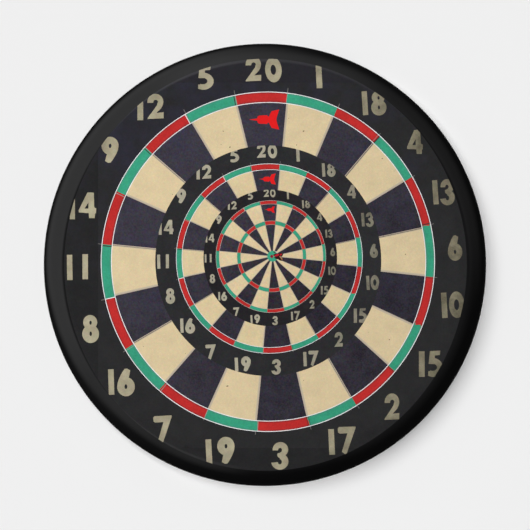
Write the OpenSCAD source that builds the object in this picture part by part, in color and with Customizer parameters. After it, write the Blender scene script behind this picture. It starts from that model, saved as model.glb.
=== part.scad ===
// Round dartboard magnet: a crimped button with a printed face and a disc magnet in its back.
// Frame: origin at the centre of the magnet's contact face, +Z up through the 20, -Y out of the face.
// Every profile is drawn as [radius, height above the contact face] and turned about the axis.

/* [Button] */
// Outside diameter, over the clear film
button_d = 57.15; // [56:0.05:58.5]
// Height from the magnet's contact face to the middle of the crown
total_h = 5.6; // [5.4:0.05:6.4]
// How far the middle of the crown stands above the crown's edge
crown_rise = 0.5; // [0.2:0.05:0.8]
// Outside radius of the rounded shoulder between the face and the side
shoulder_r = 2.67; // [2.4:0.01:2.8]

/* [Sheet stock] */
// Thickness of the steel shell
shell_t = 0.28; // [0.2:0.01:0.32]
// Thickness of the printed paper
paper_t = 0.12; // [0.08:0.01:0.14]
// Thickness of the clear film
film_t = 0.08; // [0.05:0.01:0.1]
// Thickness of the steel back plate
back_t = 0.3; // [0.24:0.01:0.34]
// Space left between pressed layers
layer_gap = 0.02; // [0.01:0.005:0.03]

/* [Crimp] */
// Centreline radius of the shell's curl
curl_r = 0.9; // [0.8:0.05:1]
// Flat length of the shell's lip inside the curl
lip_len = 1; // [0.8:0.05:1.1]
// How far the paper and film turn back over the lip
turn_back = 0.85; // [0.5:0.05:0.95]
// Height of the crimped edge above the contact face
edge_lift = 0.9; // [0.7:0.05:1.1]

/* [Back plate] */
// Height of the plate's flat field above the contact face
field_lift = 1.1; // [1:0.05:1.3]
// Radius of the bend where the field steps up to the flange
step_r = 24.9; // [24.5:0.05:25]
// Radius of the turned-up rim
rim_r = 27.65; // [27.5:0.05:27.7]
// Height of the turned-up rim above the flange
rim_h = 1.05; // [0.8:0.05:1.3]
// Radius of the stiffening bead
bead_r = 19.2; // [17.5:0.1:21]
// Height of the stiffening bead
bead_h = 0.45; // [0.3:0.05:0.6]

/* [Magnet] */
// Diameter of the magnet
magnet_d = 25.4; // [22.2:0.1:26]
// Thickness of the magnet
magnet_h = 3.2; // [3:0.05:3.3]
// Broken edge of the magnet
magnet_edge = 0.3; // [0.2:0.05:0.5]
// Space between the magnet and the pocket's wall
pocket_gap = 0.35; // [0.25:0.05:0.5]

/* [Adhesive] */
// Diameter of the adhesive pad
pad_d = 22.6; // [20:0.1:22]
// Thickness of the adhesive pad
pad_t = 0.13; // [0.1:0.01:0.2]

/* [Hidden] */
$fn = 96;

// Offsets of each layer from the shell's centreline, outwards
shell_out = shell_t / 2;
shell_in = -shell_out;
paper_in = shell_out + layer_gap;
paper_out = paper_in + paper_t;
film_in = paper_out + layer_gap;
film_out = film_in + film_t;

// The shell's centreline: crown arc, shoulder arc, curl arc, flat lip
side_r = button_d / 2 - film_out;
bend_r = shoulder_r - film_out;
bend_x = side_r - bend_r;
crown_angle = 2 * atan(crown_rise / bend_x);
crown_r = bend_x / sin(crown_angle) + bend_r;
crown_z = total_h - film_out - crown_r;
bend_z = crown_z + (crown_r - bend_r) * cos(crown_angle);
lip_z = edge_lift + film_out;
curl_x = side_r - curl_r;
curl_z = lip_z + curl_r;
lip_x = curl_x - lip_len;

// The back plate's centreline
magnet_r = magnet_d / 2;
pocket_z = magnet_h + pad_t + layer_gap + back_t / 2;
pocket_r = magnet_r + pocket_gap + back_t / 2;
field_z = field_lift + back_t / 2;
flange_z = lip_z + film_out + layer_gap + back_t / 2;
pocket_flare = 0.2;
bead_foot = 1.4;  // half width at the field
bead_crest = 0.7; // half width at the top
step_run = 0.6;
pocket_bend = 0.5;
bead_bend = 0.6;
step_bend = 0.4;
rim_bend = 0.35;
bend_steps = 6;

// Points on an arc, with angles measured from +height towards +radius
function arc(centre, r, start, end, steps) = [
    for (i = [0:steps])
        let (a = start + (end - start) * i / steps)
        centre + r * [sin(a), cos(a)]];
// Closed outline between two lines that run the same way
function band(outer, inner) = concat(outer, [for (i = [len(inner) - 1:-1:0]) inner[i]]);

// The line at an offset outside the shell's centreline, from the axis to the lip's end.
// The shoulder starts 5 degrees on, clear of the crown's last point.
function skin(offset) = concat(
    arc([0, crown_z], crown_r + offset, 0, crown_angle, 14),
    arc([bend_x, bend_z], bend_r + offset, crown_angle + 5, 90, 16),
    arc([curl_x, curl_z], curl_r + offset, 90, 180, 12),
    [[lip_x, lip_z - offset]]);
// The same line, carried on round the lip's raw edge and back along its inner side.
// The arc starts one step past 180 degrees, where the skin ends.
function wrap(offset) = concat(
    skin(offset),
    arc([lip_x, lip_z], offset, 198, 360, 9),
    [[lip_x + turn_back, lip_z + offset]]);

function unit(v) = v / norm(v);
function left(v) = [-v[1], v[0]];
function turn(v, a) = [v[0] * cos(a) - v[1] * sin(a), v[0] * sin(a) + v[1] * cos(a)];
// [point, left normal] pairs round a bend at a corner; side is 1 for a left bend, -1 for a right
function bend(before, corner, after, r) = let (
    dir_in = unit(corner - before),
    dir_out = unit(after - corner),
    side = sign(dir_in[0] * dir_out[1] - dir_in[1] * dir_out[0]),
    angle = acos(dir_in * dir_out),
    centre = corner - dir_in * (r * tan(angle / 2)) + left(dir_in) * (side * r))
    [for (i = [0:bend_steps])
        let (spoke = turn(left(dir_in) * -side, side * angle * i / bend_steps))
        [centre + spoke * r, spoke * -side]];
// The same pairs along a whole line, with one bend radius for each inner corner
function bent_line(line, radii) = let (last = len(line) - 1) concat(
    [[line[0], left(unit(line[1] - line[0]))]],
    [for (i = [1:last - 1]) each bend(line[i - 1], line[i], line[i + 1], radii[i - 1])],
    [[line[last], left(unit(line[last] - line[last - 1]))]]);
// A sheet of thickness t centred on a bent line
module sheet(line, radii, t) {
    pairs = bent_line(line, radii);
    polygon(band(
        [for (pair = pairs) pair[0] + pair[1] * (t / 2)],
        [for (pair = pairs) pair[0] - pair[1] * (t / 2)]));
}

// Stands the button on its edge with its face towards -Y
module stand() rotate([90, 0, 0]) children();

// Stamped steel cap, curled under at its edge
module steel_shell() color("silver")
    stand() rotate_extrude() polygon(band(skin(shell_out), skin(shell_in)));

// Printed face disc, pressed over the shell and turned in round its lip
module printed_paper() color([0.14, 0.14, 0.17])
    stand() rotate_extrude() polygon(band(wrap(paper_out), wrap(paper_in)));

// Clear cover, pressed over the print
module clear_film() color([0.9, 0.93, 0.95, 0.3])
    stand() rotate_extrude() polygon(band(wrap(film_out), wrap(film_in)));

// Stamped steel back with a magnet pocket, a stiffening bead and a flange held inside the lip
module back_plate() color("gainsboro") stand() rotate_extrude() sheet(
    [
        [0, pocket_z], [pocket_r, pocket_z], [pocket_r + pocket_flare, field_z],
        [bead_r - bead_foot, field_z], [bead_r - bead_crest, field_z + bead_h],
        [bead_r + bead_crest, field_z + bead_h], [bead_r + bead_foot, field_z],
        [step_r, field_z], [step_r + step_run, flange_z],
        [rim_r, flange_z], [rim_r, flange_z + rim_h]
    ],
    [
        pocket_bend, pocket_bend, bead_bend, bead_bend, bead_bend, bead_bend,
        step_bend, step_bend, rim_bend
    ],
    back_t);

// Double-sided adhesive between the magnet and the pocket's floor
module adhesive_pad() color("ivory")
    stand() translate([0, 0, magnet_h + layer_gap / 2]) cylinder(d = pad_d, h = pad_t);

// Ferrite disc that stands a little proud of the back
module magnet_disc() color([0.2, 0.2, 0.21]) stand() rotate_extrude() polygon([
    [0, 0], [magnet_r - magnet_edge, 0], [magnet_r, magnet_edge],
    [magnet_r, magnet_h - magnet_edge], [magnet_r - magnet_edge, magnet_h], [0, magnet_h]]);

steel_shell();
printed_paper();
clear_film();
back_plate();
adhesive_pad();
magnet_disc();
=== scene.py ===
"""Looks for the round dartboard magnet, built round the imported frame.

Local frame of every turned piece: r is the distance from the axis and h the height above the magnet's
contact face, in millimetres. A point (x, z, h) lands at (x, -h, z) in the row frame, in metres.
"""
import math
import random

import bpy
import numpy as np
from mathutils import Matrix, Vector, geometry


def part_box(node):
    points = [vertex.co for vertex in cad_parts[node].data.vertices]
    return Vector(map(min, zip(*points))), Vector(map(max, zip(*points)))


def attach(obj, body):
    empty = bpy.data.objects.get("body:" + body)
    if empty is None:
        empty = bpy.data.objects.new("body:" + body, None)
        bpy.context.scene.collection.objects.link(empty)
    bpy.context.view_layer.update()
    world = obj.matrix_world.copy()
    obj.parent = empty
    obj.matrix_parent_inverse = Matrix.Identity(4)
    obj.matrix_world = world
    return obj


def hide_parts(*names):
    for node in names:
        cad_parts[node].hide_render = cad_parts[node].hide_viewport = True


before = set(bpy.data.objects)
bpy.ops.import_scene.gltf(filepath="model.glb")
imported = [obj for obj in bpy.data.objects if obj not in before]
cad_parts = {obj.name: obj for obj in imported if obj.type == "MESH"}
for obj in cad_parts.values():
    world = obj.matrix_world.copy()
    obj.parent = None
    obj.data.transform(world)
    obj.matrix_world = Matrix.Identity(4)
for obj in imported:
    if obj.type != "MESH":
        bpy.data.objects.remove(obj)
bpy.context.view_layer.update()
MM = 0.001
rng = random.Random(20)

# ------------------------------------------------------------------------------------------------
# Sizes, the same rules as the CAD, some read from the imported nodes
# ------------------------------------------------------------------------------------------------
lo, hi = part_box("clear_film")
R_OUT = (hi.x - lo.x) / 2 / MM
TOTAL_H = -lo.y / MM
EDGE_LIFT = -hi.y / MM
lo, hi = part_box("magnet_disc")
MAG_R = (hi.x - lo.x) / 2 / MM
MAG_H = -lo.y / MM
SHELL_T, PAPER_T, FILM_T, BACK_T, GAP = 0.28, 0.12, 0.08, 0.3, 0.02
PAPER_IN = SHELL_T / 2 + GAP
PAPER_OUT = PAPER_IN + PAPER_T
FILM_IN = PAPER_OUT + GAP
FILM_OUT = FILM_IN + FILM_T
# the looks keep the film as a thin laminate on a paper that fills the rest of the two layers' depth
SKIN_IN = FILM_OUT - 0.022
FACE_OUT = FILM_OUT - 0.027
side_r = R_OUT - FILM_OUT
bend_r = 2.67 - FILM_OUT
bend_x = side_r - bend_r
crown_a = 2 * math.atan(0.5 / bend_x)
crown_r = bend_x / math.sin(crown_a) + bend_r
crown_z = TOTAL_H - FILM_OUT - crown_r
bend_z = crown_z + (crown_r - bend_r) * math.cos(crown_a)
lip_z = EDGE_LIFT + FILM_OUT
curl_r = 0.9
curl_x, curl_z = side_r - curl_r, lip_z + curl_r
lip_x = curl_x - 1.0
TURN_BACK = 0.85


def dome(r, d):
    """Height of the layer line at offset d over radius r, on the crown and the shoulder."""
    r = np.asarray(r, float)
    R = crown_r + d
    on_crown = r <= R * math.sin(crown_a)
    c = crown_z + np.sqrt(np.maximum(R * R - r * r, 0))
    q = bend_r + d
    s = bend_z + np.sqrt(np.maximum(q * q - (r - bend_x) ** 2, 0))
    return np.where(on_crown, c, s)


def arc(cx, cz, r, a0, a1, n):
    out = []
    for i in range(n + 1):
        a = math.radians(a0 + (a1 - a0) * i / n)
        out.append((cx + r * math.sin(a), cz + r * math.cos(a), math.sin(a), math.cos(a)))
    return out


# ------------------------------------------------------------------------------------------------
# Material helpers
# ------------------------------------------------------------------------------------------------
def lin(c):
    return [(v / 255 / 12.92) if v / 255 <= 0.04045 else ((v / 255 + 0.055) / 1.055) ** 2.4 for v in c]


class Nodes:
    """A short way to write node trees."""

    def __init__(self, tree):
        self.t = tree

    def add(self, kind, **values):
        n = self.t.nodes.new(kind)
        for k, v in values.items():
            if hasattr(n, k) and k not in n.inputs.keys():
                setattr(n, k, v)
            else:
                self.put(n.inputs[k], v)
        return n

    def put(self, sock, v):
        if isinstance(v, bpy.types.NodeSocket):
            self.t.links.new(v, sock)
        elif isinstance(v, (tuple, list)):
            sock.default_value = tuple(v)[:len(sock.default_value)]
        else:
            sock.default_value = v

    def math(self, op, a, b=0.0, c=0.0, clamp=False):
        n = self.t.nodes.new("ShaderNodeMath")
        n.operation = op
        n.use_clamp = clamp
        for s, v in zip(n.inputs, (a, b, c)):
            self.put(s, v)
        return n.outputs[0]

    def smooth(self, v, a, b, to0=0.0, to1=1.0):
        n = self.t.nodes.new("ShaderNodeMapRange")
        n.interpolation_type = "SMOOTHSTEP"
        for s, x in zip(n.inputs, (v, a, b, to0, to1)):
            self.put(s, x)
        return n.outputs[0]

    def vec(self, op, a, b=(0, 0, 0), out=0):
        n = self.t.nodes.new("ShaderNodeVectorMath")
        n.operation = op
        self.put(n.inputs[0], a)
        self.put(n.inputs[1], b)
        return n.outputs[out]

    def scale(self, a, s):
        n = self.t.nodes.new("ShaderNodeVectorMath")
        n.operation = "SCALE"
        self.put(n.inputs[0], a)
        self.put(n.inputs["Scale"], s)
        return n.outputs[0]

    def mix(self, f, a, b, kind="RGBA", blend="MIX"):
        n = self.t.nodes.new("ShaderNodeMix")
        n.data_type = kind
        if kind == "RGBA":
            n.blend_type = blend
        ins = [s for s in n.inputs if s.enabled]
        self.put(ins[0], f)
        self.put(ins[1], a)
        self.put(ins[2], b)
        return [s for s in n.outputs if s.enabled][0]

    def noise(self, vector, scale, detail=3.0, rough=0.5, dist=0.0):
        n = self.add("ShaderNodeTexNoise", Vector=vector, Scale=scale, Detail=detail, Roughness=rough, Distortion=dist)
        return n

    def bump(self, height, strength, distance, normal=None):
        n = self.add("ShaderNodeBump", Height=height, Strength=strength, Distance=distance)
        if normal is not None:
            self.put(n.inputs["Normal"], normal)
        return n.outputs[0]


def material(name):
    m = bpy.data.materials.new(name)
    m.use_nodes = True
    m.node_tree.nodes.clear()
    n = Nodes(m.node_tree)
    out = n.add("ShaderNodeOutputMaterial")
    return m, n, out


def rgba(c):
    return (*c, 1.0)


# ------------------------------------------------------------------------------------------------
# Inks. The print is lit evenly, so each ink's reflectance is its printed tone over the light's level; painted light is
# laid over that: a tone slope, mostly lighter to the upper left and darker to the right, and painted shade over the
# shoulder.
# ------------------------------------------------------------------------------------------------
LIGHT = 1.04


def ink(name, tone, light_slope=(0, 0), grain=0.05, tint=0.03, blotch=0.05, speck=0.0, edge=None, other=None, rough=0.62, cap=None):
    """tone: printed colour, 0 to 255. slope: painted light, a relative change of reflectance to the right edge and to
    the top edge that stands in for the light's fall-off across the face. grain, tint: fine variation in level and in
    hue. blotch: wide variation.
    edge: painted shade, darkening towards the shoulder where it turns away from the light. other: a second tone that
    shows in wide patches. cap: the most that the slope may raise the level to."""
    m, n, out = material("print_" + name)
    obj = n.add("ShaderNodeTexCoord").outputs["Object"]
    sep = n.add("ShaderNodeSeparateXYZ", Vector=obj)
    X, Z = sep.outputs[0], sep.outputs[2]
    base = rgba([v / LIGHT for v in lin(tone)])
    col = base
    if other:
        patch = n.noise(obj, 260.0, 3.0, 0.6)
        along = n.math("MULTIPLY_ADD", X, other[1] / 0.0285, other[2])
        along = n.math("MULTIPLY_ADD", Z, other[3] / 0.0285, along)
        f = n.math("ADD", n.math("MULTIPLY_ADD", patch.outputs[0], 2.4, -1.2), along, clamp=True)
        col = n.mix(f, base, rgba([v / LIGHT for v in lin(other[0])]))
    fine = n.noise(obj, 5200.0, 2.0, 0.6)
    hue = n.noise(n.vec("ADD", obj, (0.011, 0.003, 0.007)), 3000.0, 2.5, 0.65)
    wide = n.noise(obj, 520.0, 3.0, 0.55)
    # painted light: the tone slope makes the ink lighter or darker across the face, as the light falls off
    level = n.math("MULTIPLY_ADD", X, light_slope[0] / 0.0285, 1.0)
    level = n.math("MULTIPLY_ADD", Z, light_slope[1] / 0.0285, level)
    if cap:
        level = n.math("MINIMUM", level, cap)
    level = n.math("MULTIPLY_ADD", n.math("SUBTRACT", fine.outputs[0], 0.5), grain * 4, level)
    level = n.math("MULTIPLY_ADD", n.math("SUBTRACT", wide.outputs[0], 0.5), blotch * 4, level)
    if edge:
        # painted shade: the ink darkens where it runs over the shoulder, more on the right and below, where the
        # shoulder turns away from the light
        r = n.math("SQRT", n.math("ADD", n.math("MULTIPLY", X, X), n.math("MULTIPLY", Z, Z)))
        far = n.smooth(r, edge[0] * MM, edge[1] * MM)
        side = n.math("DIVIDE", n.math("MULTIPLY_ADD", X, 0.87, n.math("MULTIPLY", Z, -0.5)), n.math("MAXIMUM", r, 1e-5))
        amount = n.smooth(side, -0.75, 0.75, edge[2], edge[3])
        level = n.math("MULTIPLY", level, n.math("SUBTRACT", 1.0, n.math("MULTIPLY", far, amount)))
    col = n.scale(col, level)
    shift = n.scale(n.vec("SUBTRACT", hue.outputs["Color"], (0.5, 0.5, 0.5)), tint * 4)
    col = n.vec("MULTIPLY", col, n.vec("ADD", shift, (1, 1, 1)))
    if speck:
        v = n.add("ShaderNodeTexVoronoi", Vector=obj, Scale=900.0)
        dot = n.smooth(v.outputs["Distance"], 0.05, 0.13, 1.0, 0.0)
        pick = n.math("GREATER_THAN", n.add("ShaderNodeSeparateXYZ", Vector=v.outputs["Color"]).outputs[0], 0.93)
        col = n.mix(n.math("MULTIPLY", n.math("MULTIPLY", dot, pick), speck), col, rgba(lin((150, 132, 96))))
    col = n.vec("MAXIMUM", col, (0.0008, 0.0008, 0.0008))
    b = n.bump(fine.outputs[0], 0.12, 0.00002)
    p = n.add("ShaderNodeBsdfPrincipled", **{"Base Color": col, "Roughness": rough, "Specular IOR Level": 0.0, "Normal": b})
    n.put(out.inputs[0], p.outputs[0])
    return m


INKS = {}
# painted shade: the border, ground and numeral inks darken over the shoulder (edge); each tone slope is painted light
INKS["border"] = ink("border", (26, 26, 27), (0, 0), 0.03, 0.03, 0.05, edge=(25.4, 27.2, 0.2, 0.75))
INKS["ground"] = ink("ground", (45, 45, 46), (0.0, 0.0), 0.08, 0.11, 0.11, edge=(24.6, 25.4, 0.0, 0.10),
                     other=((47, 46, 59), -0.35, -0.22, 0.8))
INKS["ground_dim"] = ink("ground_dim", (40, 40, 41), (0.0, 0.0), 0.08, 0.11, 0.11, other=((43, 42, 50), 0.0, -0.10, 0.6))
INKS["ground_top"] = ink("ground_top", (43, 42, 47), (0.0, 0.0), 0.08, 0.11, 0.11)
INKS["ground_2"] = ink("ground_2", (46, 46, 48), (0.03, 0.0), 0.10, 0.18, 0.12)
INKS["ground_3"] = ink("ground_3", (40, 38, 41), (0.0, 0.1), 0.10, 0.22, 0.14)
INKS["black"] = ink("black", (58, 55, 64), (-0.27, 0.28), 0.24, 0.30, 0.25, other=((51, 49, 63), -0.1, 0.25, 0.2))
INKS["black_2"] = ink("black_2", (54, 51, 61), (-0.42, 0.34), 0.24, 0.34, 0.22)
INKS["black_3"] = ink("black_3", (54, 50, 59), (-0.80, 0.80), 0.24, 0.50, 0.22)
INKS["cream"] = ink("cream", (220, 200, 161), (-0.055, 0.02), 0.048, 0.062, 0.06, speck=0.35)
INKS["cream_2"] = ink("cream_2", (219, 199, 159), (-0.13, 0.02), 0.052, 0.085, 0.06)
INKS["cream_3"] = ink("cream_3", (222, 201, 161), (-0.20, 0.10), 0.052, 0.12, 0.07)
INKS["fringe_a"] = ink("fringe_a", (187, 173, 157), (-0.05, 0), 0.03, 0.03, 0.04)
INKS["fringe_b"] = ink("fringe_b", (199, 186, 160), (-0.05, 0), 0.03, 0.03, 0.03)
INKS["wire_dark"] = ink("wire_dark", (92, 84, 76), (0, 0), 0.10, 0.05, 0.15)
INKS["red"] = ink("red", (191, 48, 47), (-0.03, 0.0), 0.11, 0.08, 0.12)
INKS["green"] = ink("green", (59, 158, 126), (-0.06, 0.05), 0.12, 0.09, 0.12)
INKS["red_shade"] = ink("red_shade", (162, 50, 50), (-0.03, 0.03), 0.03, 0.05, 0.06)
INKS["green_shade"] = ink("green_shade", (72, 148, 124), (-0.05, 0.05), 0.03, 0.05, 0.05)
INKS["wire"] = ink("wire", (240, 240, 242), (-0.04, 0), 0.08, 0.05, 0.10)
INKS["wire_small"] = ink("wire_small", (205, 196, 188), (-0.04, 0), 0.08, 0.05, 0.10)
INKS["wire_faint"] = ink("wire_faint", (152, 152, 144), (-0.06, 0), 0.10, 0.06, 0.12)
INKS["wire_shadow"] = ink("wire_shadow", (62, 58, 56), (0, 0), 0.10, 0.05, 0.12)
INKS["tick"] = ink("tick", (118, 116, 112), (0, 0), 0.10, 0.05, 0.15)
INKS["numeral"] = ink("numeral", (172, 164, 139), (-0.66, 0.03), 0.07, 0.07, 0.22, edge=(24.4, 26.4, 0.2, 0.12), cap=1.0)
INKS["numeral_2"] = ink("numeral_2", (171, 165, 146), (-1.05, 0.0), 0.08, 0.07, 0.20, cap=1.0)
INKS["numeral_3"] = ink("numeral_3", (171, 165, 146), (-1.75, 0.0), 0.08, 0.07, 0.16, cap=1.0)
INKS["motif"] = ink("motif", (226, 34, 36), (0, 0), 0.03, 0.05, 0.05)
INKS["pinhole"] = ink("pinhole", (128, 112, 84), (0, 0), 0.06, 0.05, 0.1)
INKS["bull_core"] = ink("bull_core", (128, 30, 58), (0, 0), 0.06, 0.05, 0.1)
INKS["dart_red"] = ink("dart_red", (176, 38, 46), (0, 0), 0.08, 0.06, 0.1)
INKS["dart_dark"] = ink("dart_dark", (50, 24, 28), (0, 0), 0.06, 0.05, 0.1)
INKS["dart_tan"] = ink("dart_tan", (172, 128, 92), (0, 0), 0.06, 0.05, 0.1)
INKS["paper"] = ink("paper", (236, 235, 230), (0, 0), 0.02, 0.01, 0.02)
LABELS = list(INKS)
L = {k: i for i, k in enumerate(LABELS)}

# ------------------------------------------------------------------------------------------------
# Layout of the print, in print units: 1 unit is 0.12917 mm, x to the right and y down, and the
# disc's centre is at (264.97, 264.87). The three boards are one design, scaled and moved.
# ------------------------------------------------------------------------------------------------
UNIT = 0.12917
MID = (264.97, 264.87)
CAM_D = 763.07  # camera to contact plane, mm
SIL_H = 2.4    # height of the widest ring
BOARDS = {1: (267.38, 261.23, 1.0), 2: (268.82, 258.03, 0.5585), 3: (270.40, 256.05, 0.3302)}
# crop of each board's dark number ring: centre and half axes, in print units
CROPS = {1: (265.5, 264.8, 201.3, 206.0), 2: (268.29, 260.72, 112.98, 115.23), 3: (270.28, 257.89, 66.81, 68.19)}
# outer and inner edge of each board's double ring, and of the innermost board's triple ring
RINGS = {}
for _b, _out, _in in ((1, 0.62, 0.42), (2, 0.3, 0.18), (3, 0.15, 0.1)):
    _x, _y, _s = BOARDS[_b]
    RINGS[_b] = ((_x + 0.5, _y + 0.5, 166.13 * _s + _out, 169.16 * _s + _out),
                 (_x + 0.5 + 0.7 * _s, _y + 0.5 + 0.05 * _s, 156.77 * _s + _in, 158.91 * _s + _in))
TRIPLE = ((271.68, 256.41, 34.54, 35.59), (271.73, 256.46, 31.19, 31.84))
# sector wires: their angle about the ring's centre at two radii, board 1 then boards 2 and 3
WIRES_1 = ([12.5, 29.7, 47.8, 64.6, 82.5, 99.6, 117.8, 135.8, 154.8, 173.4, 192.8, 211.5, 230.5, 248.9, 267.0, 284.7, 302.6, 319.8, 337.4, 354.8],
           [12.4, 30.2, 48.5, 65.4, 83.2, 100.9, 118.8, 136.8, 155.1, 173.7, 192.8, 211.1, 230.0, 247.9, 266.2, 284.1, 301.8, 319.2, 336.7, 354.5])
WIRES_2 = ([11.9, 29.3, 47.0, 64.1, 82.1, 99.4, 117.6, 136.0, 155.1, 173.8, 193.3, 212.2, 230.9, 249.3, 267.5, 285.0, 302.5, 319.7, 337.0, 354.5],
           [12.0, 29.9, 47.6, 65.1, 82.9, 100.7, 118.8, 136.9, 155.2, 174.2, 193.0, 211.9, 230.4, 248.4, 266.7, 284.3, 301.7, 319.3, 336.5, 354.4])
WIRES_IN = ([10.0, 25.5, 41.9, 58.0, 76.3, 94.0, 114.5, 131.8, 153.7, 174.0, 196.1, 216.0, 237.7, 254.1, 274.9, 290.1, 306.8, 322.8, 338.8, 354.0],
            [11.6, 28.4, 46.4, 63.2, 81.2, 98.5, 116.9, 135.4, 155.2, 173.8, 194.0, 212.4, 232.1, 250.1, 268.4, 285.7, 303.4, 319.9, 337.3, 354.4])
# where the red and green beds of the double ring meet
JOINTS = [12.7, 30.2, 48.2, 65.5, 83.2, 101.1, 119.0, 137.0, 155.2, 174.1, 193.0, 211.8, 230.1, 248.0, 266.5, 284.4, 301.8, 319.2, 337.2, 354.5]
# marks beside the joints: wire, offset towards the green side, half width, ink
JOINT_MARKS = [(0, -1.3, 0.5, "dark"), (2, -1.5, 0.2, "faint"), (2, 0.5, 0.6, "dark"), (4, 0.0, 0.25, "faint"), (5, -0.4, 0.3, "faint"),
               (5, 1.2, 0.45, "dark"), (6, -0.9, 0.38, "bright"), (7, 0.0, 0.25, "faint"), (7, 1.5, 0.4, "dark"), (8, -1.5, 0.3, "faint"),
               (9, 1.4, 0.55, "dark"), (10, -0.6, 0.42, "bright"), (11, 1.5, 0.25, "faint"), (12, -1.4, 0.3, "faint"), (13, 0.4, 0.4, "faint"),
               (14, -0.5, 0.35, "faint"), (15, -1.1, 0.3, "dark"), (15, 1.0, 0.25, "dark"), (17, -1.0, 0.3, "dark"), (19, -1.0, 0.3, "dark")]
# wire ends outside the ring: offset, how far past the ring, half width
ENDS = {3: (-0.5, 4.6, 0.3), 4: (0.0, 5.4, 0.35), 5: (-0.2, 5.0, 0.3), 6: (0.3, 4.8, 0.3), 14: (1.4, 4.6, 0.3), 15: (0.5, 5.0, 0.3), 16: (-0.5, 5.0, 0.3),
        0: (0.0, 2.6, 0.3), 1: (0.0, 2.4, 0.25), 2: (-1.0, 2.4, 0.3), 9: (0.0, 2.3, 0.25), 10: (-0.6, 2.6, 0.35), 11: (1.2, 2.4, 0.3), 13: (0.4, 2.6, 0.3), 19: (0.0, 2.6, 0.3)}
# dark side of a wire in the beds: offset towards the cream side, half width
BED_DARK = {0: (1.0, 0.32), 2: (1.1, 0.36), 11: (1.0, 0.28), 9: (1.1, 0.2), 7: (1.2, 0.2), 16: (1.0, 0.22)}
# the sector wires of the second board sit a little off its rings
WIRE_OFF = {1: (0.0, 0.0), 2: (-0.19, -0.33), 3: (0.0, 0.0)}
BULL = (272.6, 256.2)
# numerals: character, centre x and y, width, height, lean in degrees, on board 1
NUMERALS = [("2", 253.4, 68.9, 15.6, 24.9, 0.2), ("0", 273.4, 69.8, 16.5, 25.2, 4.8), ("1", 319.0, 76.0, 5.8, 24.4, 2.8),
            ("1", 364.9, 103.2, 5.3, 23.9, 3.7), ("8", 378.7, 103.3, 15.3, 24.4, 2.1), ("4", 414.8, 142.0, 15.8, 24.2, 2.6),
            ("1", 435.4, 192.3, 5.2, 24.2, 4.0), ("3", 447.3, 192.2, 14.4, 26.1, 3.6), ("6", 455.0, 248.0, 14.5, 25.5, 1.7),
            ("1", 444.3, 305.3, 5.5, 25.4, 3.3), ("0", 456.7, 304.7, 15.5, 26.6, 2.5), ("1", 421.8, 364.1, 5.7, 25.5, 0.2),
            ("5", 436.0, 363.7, 14.8, 26.6, -2.0), ("2", 392.0, 406.7, 14.7, 26.5, -0.4), ("1", 331.6, 441.9, 5.7, 25.6, 2.7),
            ("7", 346.2, 440.4, 18.0, 28.3, -1.7), ("3", 280.1, 455.9, 16.8, 27.7, 0.1), ("1", 208.9, 451.7, 5.8, 24.7, 2.9),
            ("9", 225.9, 450.3, 17.4, 27.0, 0.3), ("7", 162.4, 428.9, 18.7, 27.2, 0.3), ("1", 111.2, 382.0, 5.6, 25.5, 1.8),
            ("6", 126.0, 382.4, 17.7, 27.8, -0.1), ("8", 90.6, 329.0, 16.8, 28.1, 0.4), ("1", 69.7, 267.4, 5.4, 25.2, 0.9),
            ("1", 85.2, 266.7, 5.5, 25.0, 0.1), ("1", 72.4, 207.1, 5.1, 24.3, 0.1), ("4", 87.5, 205.3, 17.5, 25.8, 0.1),
            ("9", 109.8, 149.8, 17.1, 26.2, -3.3), ("1", 140.3, 108.1, 5.8, 24.2, 0.0), ("2", 155.5, 106.4, 16.2, 25.2, 0.5),
            ("5", 206.3, 77.8, 15.8, 24.0, -1.4)]
# pinholes left by darts in the cream beds of board 1: x, y, size
PINHOLES = [(227.4, 386.1, 1.25), (229.9, 147.2, 1.1), (303.6, 131.1, 1.1), (382.3, 158.5, 0.8), (389.5, 339.6, 0.85),
            (405.5, 254.4, 0.85), (247.0, 328.1, 0.8), (303.5, 380.5, 0.65), (296.5, 145.0, 0.7), (223.2, 131.2, 0.75),
            (221.0, 144.5, 0.6), (172.5, 194.5, 0.55), (143.5, 346.5, 0.5), (185.5, 353.5, 0.5), (288.5, 118.4, 0.55)]


def ell(cx, cy, rx, ry, n=28):
    return [(cx + rx * math.cos(2 * math.pi * i / n), cy - ry * math.sin(2 * math.pi * i / n)) for i in range(n)]


def band(cx, cy, rx, ry, ix, iy, a0, a1, n=18, ox=0.0, oy=0.0):
    """A thick arc from a0 to a1 degrees, 0 to the right and 90 up."""
    A = [math.radians(a0 + (a1 - a0) * i / n) for i in range(n + 1)]
    return ([(cx + rx * math.cos(a), cy - ry * math.sin(a)) for a in A]
            + [(cx + ox + ix * math.cos(a), cy + oy - iy * math.sin(a)) for a in reversed(A)])


def six():
    return (17.6, 27.6,
            [ell(8.8, 18.1, 8.8, 9.5),
             [(7.3, 0.4), (9.8, 0.0), (13.0, 1.8), (11.4, 9.6), (8.0, 16.0), (0.15, 16.6), (0.6, 13.6), (1.8, 10.2), (3.4, 6.8), (5.2, 3.4)]],
            [ell(8.7, 18.0, 1.35, 2.3, 14)])


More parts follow.
